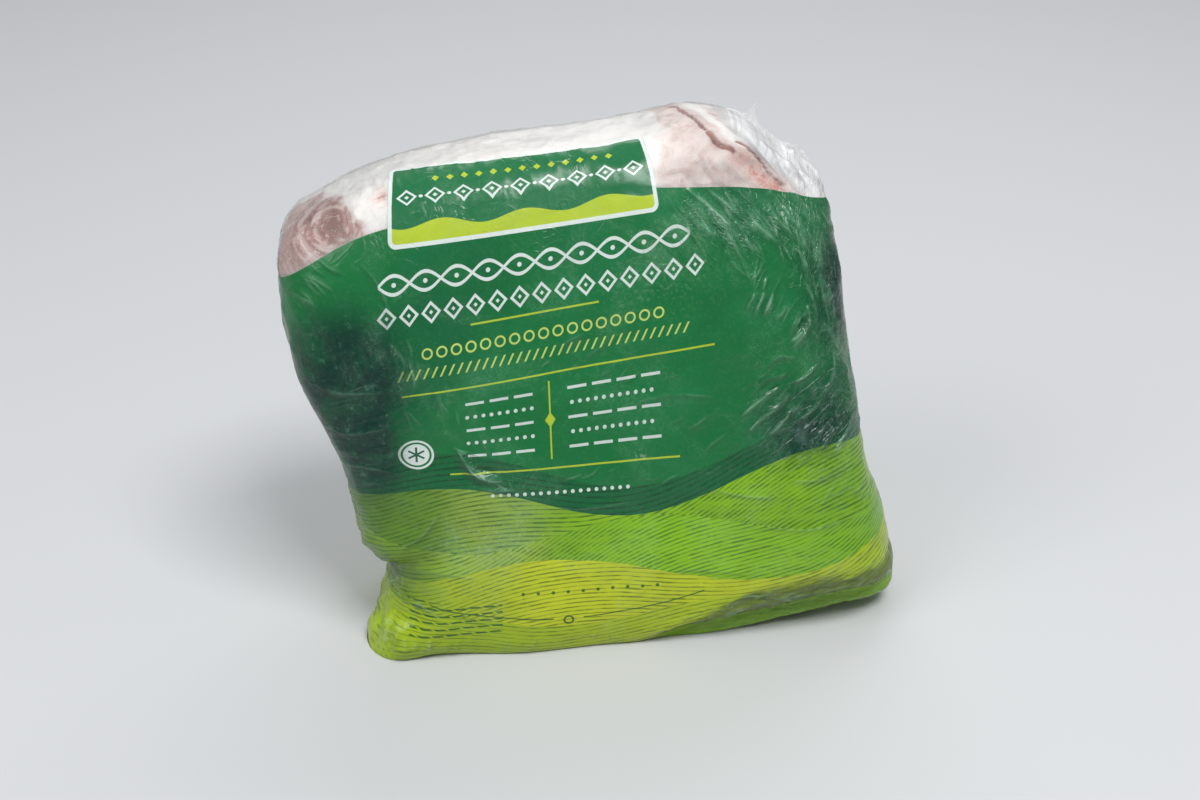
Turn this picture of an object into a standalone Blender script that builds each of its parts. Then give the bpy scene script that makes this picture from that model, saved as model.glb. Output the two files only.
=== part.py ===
"""Bone-in lamb shoulder, frozen hard and shrunk into a tight bag.

One closed solid: a thick, flat-faced block of meat that stands on its lower edge with its face leaning back.
It is wide and blunt at the foot, thinner towards the top, pulled in at a waist on the lower left above the
knuckle of the shank, and drawn out to a thin gathered film edge at the upper right. The lower right corner
is lifted clear of the ground, with a fold of bag tucked under the face there.

Sizes are in millimetres until the mesh is written in metres. +X right, +Y towards the back, +Z up.
"""
import math

import bmesh
import bpy
from mathutils import Vector

MM = 0.001

# ------------------------------------------------------------------ named sizes
NAME = "lamb_shoulder_pack"
MIDDLE_X, MIDDLE_Z = 6.0, 82.0      # middle of the rim outline

# Rim outline seen from the front: direction from the middle in degrees, distance in mm.
RIGHT_FLANK = (0.0, 91.0)
RIGHT_FLANK_HIGH = (28.0, 95.5)
UPPER_RIGHT_CORNER = (39.0, 101.5)
FILM_EDGE = (50.0, 98.0)
FILM_CREST = (66.0, 94.0)
CREST_STEP = (78.0, 84.5)
TOP = (96.0, 80.5)
TOP_LEFT = (118.0, 86.5)
TOP_LEFT_SLOPE = (143.0, 104.5)
UPPER_LEFT_CORNER = (151.0, 111.5)
LEFT_SHOULDER = (159.0, 107.0)
LEFT_FLANK = (173.0, 95.0)
WAIST_HIGH = (190.0, 84.0)
WAIST_LOW = (205.0, 87.5)
NECK_HIGH = (214.0, 90.5)
NECK = (219.5, 90.0)
KNUCKLE_HIGH = (224.0, 104.0)
KNUCKLE = (229.5, 118.5)
KNUCKLE_FOOT = (236.0, 108.0)
FOOT_LEFT = (252.0, 97.5)
FOOT = (270.0, 90.5)
FOOT_RIGHT = (290.0, 96.0)
LIFTED_EDGE = (309.0, 108.0)
LIFTED_EDGE_FAR = (317.0, 117.5)
LOWER_RIGHT_CORNER = (325.0, 130.0)
RIGHT_CORNER_HIGH = (332.0, 118.0)
RIGHT_FLANK_LOW = (342.0, 101.5)
RIM = (
    RIGHT_FLANK, RIGHT_FLANK_HIGH, UPPER_RIGHT_CORNER, FILM_EDGE, FILM_CREST, CREST_STEP, TOP, TOP_LEFT,
    TOP_LEFT_SLOPE, UPPER_LEFT_CORNER, LEFT_SHOULDER, LEFT_FLANK, WAIST_HIGH, WAIST_LOW, NECK_HIGH, NECK,
    KNUCKLE_HIGH, KNUCKLE, KNUCKLE_FOOT, FOOT_LEFT, FOOT, FOOT_RIGHT, LIFTED_EDGE, LIFTED_EDGE_FAR,
    LOWER_RIGHT_CORNER, RIGHT_CORNER_HIGH, RIGHT_FLANK_LOW,
)

RIM_SETBACK = 37.0       # rim surface behind the front of the foot
RIM_LEAN = 0.16          # rim surface moves back this much per mm of height
FACE_DEPTH = 46.5        # face in front of the rim surface, at the foot
FACE_TAPER = 0.105       # and less by this much per mm of height
BACK_DEPTH = 42.0        # back behind the rim surface, at the foot
BACK_TAPER = 0.08
FACE_SQUARENESS = 4.2    # roundness of the edge between rim and face (2 = round, higher = squarer)
BACK_SQUARENESS = 3.4
FOOT_EDGE = 1.5          # softness of the edge around the flat foot

# Swells and hollows: x, z of the middle, half widths, height in mm (positive = outwards).
FACE_SWELLS = (
    (-28.0, 62.0, 46.0, 40.0, 2.5),     # arm muscle, lower left
    (52.0, 92.0, 34.0, 44.0, 1.5),      # blade side, right
    (78.0, 158.0, 30.0, 24.0, -11.0),   # film thins out at the upper right
    (-62.0, 22.0, 14.0, 14.0, -3.0),    # hollow over the neck of the shank
)
BACK_SWELLS = (
    (20.0, 78.0, 50.0, 42.0, 4.0),      # meat over the ribs
    (-48.0, 128.0, 30.0, 26.0, -2.0),   # hollow at the upper left
    (78.0, 158.0, 34.0, 28.0, -14.0),   # film thins out at the upper right
    (-76.0, 4.0, 24.0, 24.0, -20.0),    # slim knuckle
)

# Fold of bag along the lifted lower right edge of the face.
FOLD_X0, FOLD_X1 = 14.0, 40.0           # fold begins and reaches full depth
FOLD_Z0, FOLD_RISE, FOLD_SAG = 1.5, 0.30, 0.00145
FOLD_TUCK, FOLD_WIDTH = 5.0, 4.0        # depth of the fold behind the face, and how soon it gets there
ROLL_RISE, ROLL_WIDTH = 3.6, 6.0        # roll of film under the fold, coming forward again

CAGE_CELLS = 14          # cells along each edge of the cage
SMOOTHING = 1            # subdivision level

FILM_GREEN = (0.018, 0.13, 0.05, 1.0)


# ------------------------------------------------------------------ form
def rim_distance(angle):
    """Smooth closed curve through the rim stations."""
    count = len(RIM)
    for index in range(count):
        a0, r0 = RIM[index]
        a1, r1 = RIM[(index + 1) % count]
        span = (a1 - a0) % 360.0
        along = (angle - a0) % 360.0
        if along < span:
            before_a, before_r = RIM[index - 1]
            after_a, after_r = RIM[(index + 2) % count]
            span_before = (a0 - before_a) % 360.0
            span_after = (after_a - a1) % 360.0
            slope = (r1 - r0) / span
            m0 = ((r0 - before_r) / span_before * span + slope * span_before) / (span + span_before)
            m1 = (slope * span_after + (after_r - r1) / span_after * span) / (span + span_after)
            t = along / span
            return ((1 + 2 * t) * (1 - t) ** 2 * r0 + t * (1 - t) ** 2 * span * m0
                    + t * t * (3 - 2 * t) * r1 + t * t * (t - 1) * span * m1)
    return RIM[0][1]


def swell(x, z, table):
    total = 0.0
    for middle_x, middle_z, half_x, half_z, height in table:
        total += height * math.exp(-((x - middle_x) / half_x) ** 2 - ((z - middle_z) / half_z) ** 2)
    return total


def ease(value, low, high):
    t = min(max((value - low) / (high - low), 0.0), 1.0)
    return t * t * (3 - 2 * t)


def fold_line(x):
    """Height of the fold along the lower right of the face."""
    run = x - FOLD_X0
    return FOLD_Z0 + FOLD_RISE * run - FOLD_SAG * run * run


def face_depth(x, z):
    below = fold_line(x) - z
    tuck = FOLD_TUCK * ease(below, 0.0, FOLD_WIDTH) - ROLL_RISE * ease(below, FOLD_WIDTH, FOLD_WIDTH + ROLL_WIDTH)
    return FACE_DEPTH - FACE_TAPER * z + swell(x, z, FACE_SWELLS) - tuck * ease(x, FOLD_X0, FOLD_X1)


def back_depth(x, z):
    return BACK_DEPTH - BACK_TAPER * z + swell(x, z, BACK_SWELLS)


def settle(z):
    """Flat foot at z = 0 with a softened edge."""
    if z >= FOOT_EDGE:
        return z
    if z <= -FOOT_EDGE:
        return 0.0
    return (z + FOOT_EDGE) ** 2 / (4 * FOOT_EDGE)


def form(across, depth, up):
    """A point of the unit cube's surface moved onto the meat's form."""
    reach = max(abs(across), abs(up))
    angle = math.degrees(math.atan2(up, across))
    square = FACE_SQUARENESS if depth < 0 else BACK_SQUARENESS
    scale = (reach ** square + abs(depth) ** square) ** (-1.0 / square)
    outward, inward = scale * reach, scale * depth
    distance = outward * rim_distance(angle % 360.0)
    x = MIDDLE_X + distance * math.cos(math.radians(angle))
    z = MIDDLE_Z + distance * math.sin(math.radians(angle))
    thickness = face_depth(x, z) if inward < 0 else back_depth(x, z)
    y = RIM_SETBACK + RIM_LEAN * z + inward * thickness
    return Vector((x, y, settle(z)))


# ------------------------------------------------------------------ object
def plain_material():
    material = bpy.data.materials.new("printed_film")
    material.use_nodes = True
    shader = material.node_tree.nodes.get("Principled BSDF")
    shader.inputs["Base Color"].default_value = FILM_GREEN
    shader.inputs["Roughness"].default_value = 0.3
    return material


def build():
    for old in list(bpy.data.objects):
        bpy.data.objects.remove(old, do_unlink=True)
    collection = bpy.data.collections.new(NAME + "_parts")
    bpy.context.scene.collection.children.link(collection)

    cage = bmesh.new()
    bmesh.ops.create_cube(cage, size=2.0)
    bmesh.ops.subdivide_edges(cage, edges=list(cage.edges), cuts=CAGE_CELLS - 1, use_grid_fill=True)
    for vertex in cage.verts:
        vertex.co = form(vertex.co.x, vertex.co.y, vertex.co.z) * MM
    bmesh.ops.recalc_face_normals(cage, faces=list(cage.faces))
    mesh = bpy.data.meshes.new(NAME)
    cage.to_mesh(mesh)
    cage.free()

    solid = bpy.data.objects.new(NAME, mesh)
    collection.objects.link(solid)
    mesh.materials.append(plain_material())
    smoother = solid.modifiers.new("soft_form", "SUBSURF")
    smoother.levels = SMOOTHING
    smoother.render_levels = SMOOTHING

    # Origin under the middle of the bounding box.
    bpy.context.view_layer.update()
    smooth_form = solid.evaluated_get(bpy.context.evaluated_depsgraph_get()).to_mesh()
    xs = [vertex.co.x for vertex in smooth_form.vertices]
    ys = [vertex.co.y for vertex in smooth_form.vertices]
    zs = [vertex.co.z for vertex in smooth_form.vertices]
    middle = Vector(((min(xs) + max(xs)) / 2, (min(ys) + max(ys)) / 2, min(zs)))
    for vertex in mesh.vertices:
        vertex.co -= middle
    return middle


build()
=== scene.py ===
"""Bone-in lamb shoulder, frozen hard and shrunk into a tight bag.

One skin of film, printed below and clear above, with the meat behind the clear part, and the gathered film
edge at the upper right. Sizes are in millimetres until a mesh is written in metres.
"""
import math

import bpy
import numpy as np
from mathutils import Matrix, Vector


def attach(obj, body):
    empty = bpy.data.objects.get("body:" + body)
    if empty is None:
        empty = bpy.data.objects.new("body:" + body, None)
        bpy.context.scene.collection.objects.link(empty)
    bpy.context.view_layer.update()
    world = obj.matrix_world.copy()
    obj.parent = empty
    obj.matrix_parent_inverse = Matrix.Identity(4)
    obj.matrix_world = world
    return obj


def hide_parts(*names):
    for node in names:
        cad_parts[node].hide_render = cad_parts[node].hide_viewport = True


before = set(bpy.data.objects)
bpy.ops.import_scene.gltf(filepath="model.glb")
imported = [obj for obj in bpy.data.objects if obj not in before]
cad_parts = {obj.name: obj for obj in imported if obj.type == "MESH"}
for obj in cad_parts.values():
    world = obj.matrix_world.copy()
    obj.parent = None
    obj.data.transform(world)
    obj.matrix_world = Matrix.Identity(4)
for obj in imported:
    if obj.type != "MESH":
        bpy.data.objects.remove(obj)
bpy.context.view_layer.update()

MM = 0.001
NODE = "lamb_shoulder_pack"
SHIFT = np.array((9.0, 43.5, 0.0))      # from the form's own frame to the model's frame

# ------------------------------------------------------------------ form
MIDDLE_X, MIDDLE_Z = 6.0, 82.0
# Rim outline seen from the front: direction from the middle in degrees, distance in mm.
RIM = (
    (0.0, 91.0), (28.0, 95.5), (39.0, 101.5), (50.0, 98.0), (66.0, 94.0), (78.0, 84.5), (96.0, 80.5),
    (118.0, 86.5), (143.0, 104.5), (151.0, 111.5), (159.0, 107.0), (173.0, 95.0), (190.0, 84.0),
    (205.0, 87.5), (214.0, 90.5), (219.5, 90.0), (224.0, 104.0), (229.5, 118.5), (236.0, 108.0),
    (252.0, 97.5), (270.0, 90.5), (290.0, 96.0), (309.0, 108.0), (317.0, 117.5), (325.0, 130.0),
    (332.0, 118.0), (342.0, 101.5),
)
RIM_SETBACK, RIM_LEAN = 37.0, 0.16
FACE_DEPTH, FACE_TAPER, FACE_SQUARENESS = 46.5, 0.105, 4.2
BACK_DEPTH, BACK_TAPER, BACK_SQUARENESS = 42.0, 0.08, 3.4
FOOT_EDGE = 1.5
# x, z of the middle, half widths, height (positive = outwards)
FACE_SWELLS = ((-28, 62, 46, 40, 2.5), (52, 92, 34, 44, 1.5), (78, 158, 30, 24, -11), (-62, 22, 14, 14, -3))
BACK_SWELLS = ((20, 78, 50, 42, 4), (-48, 128, 30, 26, -2), (78, 158, 34, 28, -14), (-76, 4, 24, 24, -20))
FOLD_X0, FOLD_X1 = 14.0, 40.0
FOLD_Z0, FOLD_RISE, FOLD_SAG = 1.5, 0.30, 0.00145
FOLD_TUCK, FOLD_WIDTH, ROLL_RISE, ROLL_WIDTH = 5.0, 4.0, 3.6, 6.0


def ease(value, low, high):
    t = np.clip((value - low) / (high - low), 0.0, 1.0)
    return t * t * (3 - 2 * t)


def swell(x, z, table):
    return sum(h * np.exp(-((x - cx) / rx) ** 2 - ((z - cz) / rz) ** 2) for cx, cz, rx, rz, h in table)


def rim_distance(angle):
    """Smooth closed curve through the rim stations, as in the CAD."""
    angles = np.array([a for a, _ in RIM])
    radii = np.array([r for _, r in RIM])
    span = (np.roll(angles, -1) - angles) % 360.0
    slope = (np.roll(radii, -1) - radii) / span
    before = np.roll(span, 1)
    tangent = (np.roll(slope, 1) * span + slope * before) / (span + before)
    i = np.searchsorted(angles, angle, side="right") - 1
    j = (i + 1) % len(angles)
    t = (angle - angles[i]) / span[i]
    return ((1 + 2 * t) * (1 - t) ** 2 * radii[i] + t * (1 - t) ** 2 * span[i] * tangent[i]
            + t * t * (3 - 2 * t) * radii[j] + t * t * (t - 1) * span[i] * tangent[j])


def fold_line(x):
    run = x - FOLD_X0
    return FOLD_Z0 + FOLD_RISE * run - FOLD_SAG * run * run


def face_depth(x, z):
    below = fold_line(x) - z
    tuck = FOLD_TUCK * ease(below, 0.0, FOLD_WIDTH) - ROLL_RISE * ease(below, FOLD_WIDTH, FOLD_WIDTH + ROLL_WIDTH)
    return FACE_DEPTH - FACE_TAPER * z + swell(x, z, FACE_SWELLS) - tuck * ease(x, FOLD_X0, FOLD_X1)


def back_depth(x, z):
    return BACK_DEPTH - BACK_TAPER * z + swell(x, z, BACK_SWELLS)


def form(across, depth, up):
    """Points of the unit cube's surface moved onto the pack's form."""
    reach = np.maximum(np.abs(across), np.abs(up))
    angle = np.degrees(np.arctan2(up, across)) % 360.0
    square = np.where(depth < 0, FACE_SQUARENESS, BACK_SQUARENESS)
    scale = (reach ** square + np.abs(depth) ** square) ** (-1.0 / square)
    outward, inward = scale * reach, scale * depth
    distance = outward * rim_distance(angle)
    x = MIDDLE_X + distance * np.cos(np.radians(angle))
    z = MIDDLE_Z + distance * np.sin(np.radians(angle))
    thickness = np.where(inward < 0, face_depth(x, z), back_depth(x, z))
    y = RIM_SETBACK + RIM_LEAN * z + inward * thickness
    z = np.where(z >= FOOT_EDGE, z, np.where(z <= -FOOT_EDGE, 0.0, (z + FOOT_EDGE) ** 2 / (4 * FOOT_EDGE)))
    return np.stack([x, y, z], axis=-1)


# ------------------------------------------------------------------ noise
def lattice(ix, iy, iz, seed):
    h = (ix * 374761393 + iy * 668265263 + iz * 1440662683 + seed * 144269504) & 0xFFFFFFFF
    h = ((h ^ (h >> 13)) * 1274126177) & 0xFFFFFFFF
    h = ((h ^ (h >> 15)) * 2246822519) & 0xFFFFFFFF
    return ((h ^ (h >> 16)) & 0xFFFF) / 32767.5 - 1.0


def noise(x, y, z, seed):
    """Smooth noise, about -1 to 1, one cell per unit."""
    ix, iy, iz = (np.floor(v).astype(np.int64) for v in (x, y, z))
    fx, fy, fz = x - ix, y - iy, z - iz
    fx, fy, fz = (f * f * f * (f * (f * 6 - 15) + 10) for f in (fx, fy, fz))
    total = 0.0
    for dx in (0, 1):
        for dy in (0, 1):
            for dz in (0, 1):
                weight = (fx if dx else 1 - fx) * (fy if dy else 1 - fy) * (fz if dz else 1 - fz)
                total = total + weight * lattice(ix + dx, iy + dy, iz + dz, seed)
    return total


def rough_noise(points, size, seed, octaves=3, gain=0.5):
    total, reach = 0.0, 1.0
    for octave in range(octaves):
        scale = 2.0 ** octave / size
        total = total + reach * noise(points[:, 0] * scale, points[:, 1] * scale, points[:, 2] * scale, seed + octave)
        reach *= gain
    return total


def ridges(value):
    """Sharp crests where noise crosses zero, 0 to 1."""
    return np.clip(1.0 - np.abs(value) * 2.6, 0.0, 1.0) ** 2


# ------------------------------------------------------------------ grids
def skin_grid(cells, depth_cells, up_cells, bias=1.25, up_bias=1.0):
    """The unit cube's surface as points (across, depth, up), quads facing out, and a flat map with one chart per side."""
    n, m, p = cells, depth_cells, up_cells
    steps = -1.0 + 2.0 * np.linspace(0.0, 1.0, m + 1) ** bias
    levels = -1.0 + 2.0 * np.linspace(0.0, 1.0, p + 1) ** up_bias
    gap = 0.006
    long_side, short_side, back_side = 0.67, 0.098, 0.305
    sides = []
    i, j, k = np.arange(n + 1), np.arange(p + 1), np.arange(m + 1)
    gi, gj = np.meshgrid(i, j, indexing="ij")
    sides.append((gi, 0 * gi, gj, False, (gap, gap, long_side, long_side)))
    sides.append((gi, 0 * gi + m, gj, True, (0.69, 0.69, back_side, back_side)))
    gk, gj = np.meshgrid(k, j, indexing="ij")
    sides.append((0 * gk + n, gk, gj, False, (0.685, gap, short_side, long_side)))
    sides.append((0 * gk, gk, gj, True, (0.79, gap, short_side, long_side)))
    gi, gk = np.meshgrid(i, k, indexing="ij")
    sides.append((gi, gk, 0 * gi + p, False, (gap, 0.685, long_side, short_side)))
    sides.append((gi, gk, 0 * gi, True, (gap, 0.79, long_side, short_side)))
    keys, quads, charts, offset = [], [], [], 0
    for ai, dk, bj, flip, (u0, v0, du, dv) in sides:
        key = (ai * (m + 1) + dk) * (p + 1) + bj
        rows, columns = key.shape
        index = offset + np.arange(key.size).reshape(key.shape)
        quad = np.stack([index[:-1, :-1], index[1:, :-1], index[1:, 1:], index[:-1, 1:]], -1).reshape(-1, 4)
        pu, pv = np.meshgrid(np.linspace(0, 1, rows), np.linspace(0, 1, columns), indexing="ij")
        place = np.stack([u0 + du * pu, v0 + dv * pv], -1).reshape(-1, 2)
        chart = place[quad - offset]
        if flip:
            quad, chart = quad[:, ::-1], chart[:, ::-1]
        keys.append(key.ravel())
        quads.append(quad)
        charts.append(chart)
        offset += key.size
    keys = np.concatenate(keys)
    unique, inverse = np.unique(keys, return_inverse=True)
    quads = inverse[np.concatenate(quads)]
    bj = unique % (p + 1)
    dk = (unique // (p + 1)) % (m + 1)
    ai = unique // ((p + 1) * (m + 1))
    return -1 + 2 * ai / n, steps[dk], levels[bj], quads, np.concatenate(charts)


def point_normals(points, quads):
    a, b, c, d = (points[quads[:, i]] for i in range(4))
    faces = np.cross(c - a, d - b)
    total = np.zeros_like(points)
    for i in range(4):
        for axis in range(3):
            total[:, axis] += np.bincount(quads[:, i], weights=faces[:, axis], minlength=len(points))
    return total / np.maximum(np.linalg.norm(total, axis=1, keepdims=True), 1e-9)


def make_mesh(name, points, faces, materials, chart=None, layers=None, slots=None, smooth=True):
    """A mesh object from points in mm of the form's own frame."""
    mesh = bpy.data.meshes.new(name)
    mesh.from_pydata(((points - SHIFT) * MM).tolist(), [], [list(map(int, f)) for f in faces])
    if chart is not None:
        layer = mesh.uv_layers.new(name="OFBake")
        layer.data.foreach_set("uv", chart.reshape(-1).astype(np.float32))
    for key, values in (layers or {}).items():
        attribute = mesh.attributes.new(key, "FLOAT", "POINT")
        attribute.data.foreach_set("value", np.asarray(values, dtype=np.float32))
    for material in materials:
        mesh.materials.append(material)
    if slots is not None:
        mesh.polygons.foreach_set("material_index", slots.astype(np.int32))
    mesh.polygons.foreach_set("use_smooth", np.full(len(faces), smooth))
    mesh.update()
    piece = bpy.data.objects.new(name, mesh)
    bpy.context.scene.collection.objects.link(piece)
    return piece


# ------------------------------------------------------------------ creases of the film
def line_frame(x, z, line):
    """Signed distance from a line of (x, z) points, plain distance, and a taper that fades towards its ends."""
    line = np.array(line, dtype=float)
    parts = np.linalg.norm(np.diff(line, axis=0), axis=1)
    total = parts.sum()
    best = np.full(x.shape, 1e6)
    signed = np.zeros(x.shape)
    along = np.zeros(x.shape)
    done = 0.0
    for (x0, z0), (x1, z1), length in zip(line[:-1], line[1:], parts):
        dx, dz = (x1 - x0) / length, (z1 - z0) / length
        t = np.clip((x - x0) * dx + (z - z0) * dz, 0, length)
        ox, oz = x - x0 - t * dx, z - z0 - t * dz
        distance = np.hypot(ox, oz)
        near = distance < best
        best = np.where(near, distance, best)
        signed = np.where(near, distance * np.sign(dx * oz - dz * ox), signed)
        along = np.where(near, done + t, along)
        done += length
    taper = np.clip(np.sin(np.pi * np.clip(along / total, 0, 1)), 0, 1) ** 0.6
    return signed, best, taper


def rounded(line):
    """The line with its corners cut twice, ends kept."""
    line = [np.array(point, dtype=float) for point in line]
    for _ in range(2 if len(line) > 2 else 0):
        cut = [line[0]]
        for a, b in zip(line[:-1], line[1:]):
            cut += [a * 0.75 + b * 0.25, a * 0.25 + b * 0.75]
        line = cut + [line[-1]]
    return [tuple(point) for point in line]


# x, z points on the face; half width; height
CREASES = (
    (((37.4, 151.8), (46.1, 144.3), (53.5, 137.6)), 1.15, 0.85),
    (((43.3, 151.6), (49.3, 146.7), (55.4, 142.1)), 0.95, 0.60),
    (((48.7, 139.8), (52.9, 133.5)), 1.15, 0.75),
    (((56.6, 147.3), (63.8, 139.8)), 0.95, 0.55),
    (((41.5, 147.8), (47.0, 138.9), (50.8, 132.0)), 1.0, -0.55),
    (((62.0, 119.7), (58.1, 112.1)), 1.0, 0.95),
    (((65.0, 119.0), (61.4, 111.9)), 1.0, 0.95),
    (((59.0, 120.0), (55.4, 114.0)), 0.9, 0.70),
    (((76.6, 114.0), (77.3, 109.0), (75.5, 105.0), (70.9, 101.4)), 1.1, 1.05),
    (((75.1, 106.5), (70.9, 103.4)), 1.2, 0.90),
    (((66.7, 89.4), (60.0, 86.6), (53.1, 81.0)), 0.95, 1.00),
    (((67.1, 83.0), (60.6, 80.6), (55.5, 75.7)), 0.95, 0.95),
    (((70.0, 80.0), (63.0, 74.6)), 0.95, 0.70),
    (((70.0, 90.0), (76.0, 91.2), (80.5, 95.0)), 0.95, 0.60),
    (((62.0, 96.0), (66.0, 99.5), (72.0, 98.0)), 1.0, 0.50),
    (((83.8, 104.7), (88.6, 95.8), (91.9, 87.0), (93.6, 79.1)), 1.3, 0.90),
    (((93.4, 74.0), (90.7, 69.3), (86.2, 64.6)), 1.2, 0.70),
    (((86.1, 97.3), (86.6, 91.8), (83.9, 86.2), (80.5, 83.5)), 1.0, 0.95),
    (((-39.3, 75.8), (-35.9, 69.4), (-33.8, 67.4), (-28.6, 65.0), (-25.1, 65.2)), 1.2, 1.15),
    (((-34.0, 70.5), (-32.5, 68.9), (-26.4, 68.1)), 1.1, -0.90),
    (((-32.0, 62.8), (-27.0, 61.6), (-21.0, 62.4)), 1.0, 0.45),
    (((-84.0, 96.0), (-76.0, 93.0), (-62.0, 94.0)), 1.6, 0.45),
    (((-80.0, 80.0), (-71.0, 79.0), (-60.0, 83.0)), 1.5, 0.50),
    (((-76.0, 66.0), (-68.0, 68.5), (-58.0, 67.0)), 1.3, 0.40),
    (((-88.0, 122.0), (-80.0, 112.0), (-77.0, 101.0)), 1.6, -0.40),
    (((-66.0, 133.0), (-60.0, 126.0), (-58.0, 117.0)), 1.3, 0.35),
    (((20.0, 88.0), (32.0, 90.0), (44.0, 88.5)), 1.4, 0.30),
    (((-12.0, 56.0), (2.0, 54.0), (16.0, 55.5)), 1.5, 0.30),
    (((38.0, 60.0), (52.0, 55.0), (66.0, 53.0)), 1.4, 0.40),
    (((70.0, 58.0), (82.0, 56.0), (93.0, 58.0)), 1.2, 0.45),
    (((60.0, 44.0), (76.0, 40.0), (94.0, 42.0)), 1.3, 0.40),
    (((-60.0, 40.0), (-52.0, 46.0), (-46.0, 55.0)), 1.2, 0.40),
    (((-56.0, 32.0), (-44.0, 34.0), (-34.0, 32.0)), 1.3, 0.35),
    (((20.0, 31.0), (40.0, 30.0), (60.0, 26.0)), 1.3, 0.30),
)

# Rows of creases side by side: first and last starting point, run of one crease, how many, half width, height
COMBS = (
    ((33.0, 149.0), (74.0, 144.0), (15.0, -14.0), 22, 0.85, 0.34),
    ((44.0, 140.0), (60.0, 138.0), (11.0, -14.0), 12, 0.85, 0.28),
    ((68.0, 141.0), (86.0, 132.0), (3.5, -17.0), 15, 0.85, 0.48),
    ((74.0, 126.0), (90.0, 116.0), (3.0, -16.0), 12, 0.85, 0.42),
    ((72.0, 112.0), (88.0, 106.0), (4.5, -11.0), 9, 0.85, 0.34),
    ((54.0, 92.0), (64.0, 76.0), (11.0, 6.5), 9, 0.85, 0.34),
    ((68.0, 78.0), (84.0, 62.0), (9.0, 7.0), 11, 0.85, 0.48),
    ((56.0, 124.0), (76.0, 104.0), (4.0, 7.0), 12, 0.85, 0.40),
    ((82.0, 118.0), (93.0, 74.0), (6.0, -1.0), 16, 0.80, 0.42),
    ((-62.0, 128.0), (-54.0, 84.0), (4.0, -7.0), 9, 0.85, 0.24),
    ((72.0, 62.0), (90.0, 50.0), (9.0, 3.0), 7, 0.85, 0.30),
    ((-90.0, 120.0), (-80.0, 134.0), (7.0, -5.0), 9, 0.85, 0.30),
    ((-80.0, 100.0), (-70.0, 60.0), (9.0, 1.5), 7, 1.10, 0.22),
    ((26.0, 5.0), (104.0, 20.0), (6.5, 2.2), 26, 0.75, 0.30),
    ((44.0, 9.0), (98.0, 22.0), (7.5, 1.0), 16, 0.80, 0.40),
    ((-74.0, 3.0), (-40.0, 1.0), (2.0, 7.0), 18, 0.80, 0.34),
    ((-30.0, 2.0), (20.0, 2.0), (1.0, 5.0), 16, 0.80, 0.22),
    ((-56.0, 112.0), (-22.0, 66.0), (4.0, -10.0), 9, 1.50, 0.30),
    ((-8.0, 108.0), (44.0, 72.0), (9.0, 5.0), 9, 1.50, 0.28),
)


def comb_lines(first, last, run, count, seed):
    picks = np.random.default_rng(seed)
    lines = []
    for index in range(count):
        t = (index + 0.5) / count
        sx = first[0] + (last[0] - first[0]) * t + picks.normal(0, 0.7)
        sz = first[1] + (last[1] - first[1]) * t + picks.normal(0, 1.6)
        reach = picks.uniform(0.45, 1.15)
        turn = picks.normal(0, 0.16)
        dx = (run[0] * math.cos(turn) - run[1] * math.sin(turn)) * reach
        dz = (run[0] * math.sin(turn) + run[1] * math.cos(turn)) * reach
        bend = picks.normal(0, 0.09)
        lines.append(((sx, sz), (sx + dx * 0.5 - dz * bend, sz + dz * 0.5 + dx * bend), (sx + dx, sz + dz)))
    return lines


REAR_COMBS = (
    ((-70.0, 140.0), (60.0, 148.0), (8.0, -26.0), 15, 1.5, 0.50),
    ((-82.0, 110.0), (-78.0, 50.0), (26.0, 5.0), 10, 1.5, 0.50),
    ((92.0, 112.0), (88.0, 40.0), (-28.0, -3.0), 11, 1.5, 0.55),
    ((-40.0, 24.0), (80.0, 22.0), (-4.0, -14.0), 16, 1.5, 0.50),
    ((-20.0, 110.0), (40.0, 60.0), (14.0, 9.0), 5, 1.8, 0.40),
)
# Rows of hairline wrinkles, too fine for relief, drawn only by painted highlight and shade lines and by bump: as above,
# without the half width
HAIR_COMBS = (
    ((30.0, 151.0), (84.0, 143.0), (8.0, -10.0), 20, 0.50),
    ((34.0, 147.0), (66.0, 140.0), (13.0, -15.0), 12, 0.60),
    ((66.0, 143.0), (90.0, 128.0), (3.0, -14.0), 11, 0.50),
    ((88.0, 134.0), (96.0, 84.0), (5.0, -2.5), 20, 0.40),
    ((58.0, 116.0), (84.0, 96.0), (5.0, 7.5), 7, 0.45),
    ((55.0, 93.0), (86.0, 66.0), (8.0, 6.0), 12, 0.50),
    ((84.0, 66.0), (98.0, 40.0), (7.0, 3.0), 7, 0.40),
    ((-92.0, 130.0), (-82.0, 94.0), (8.0, -1.0), 6, 0.16),
    ((-80.0, 92.0), (-66.0, 58.0), (8.0, 3.0), 5, 0.16),
    ((-64.0, 112.0), (-52.0, 105.0), (1.5, -7.0), 8, 0.40),
    ((-42.0, 78.0), (-24.0, 60.0), (7.0, -3.0), 8, 0.50),
    ((-24.0, 100.0), (30.0, 94.0), (6.0, 3.0), 6, 0.24),
    ((-10.0, 66.0), (44.0, 60.0), (8.0, 1.5), 8, 0.30),
    ((-68.0, 27.0), (-52.0, 20.0), (8.0, -2.0), 7, 0.45),
    ((-70.0, 12.0), (-60.0, 2.0), (9.0, 1.5), 5, 0.40),
    ((30.0, 8.0), (98.0, 27.0), (10.0, 3.0), 13, 0.50),
    ((40.0, 40.0), (92.0, 52.0), (8.0, 5.0), 7, 0.28),
    ((58.0, 164.0), (86.0, 151.0), (10.0, -13.0), 12, 0.60),
)
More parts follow.
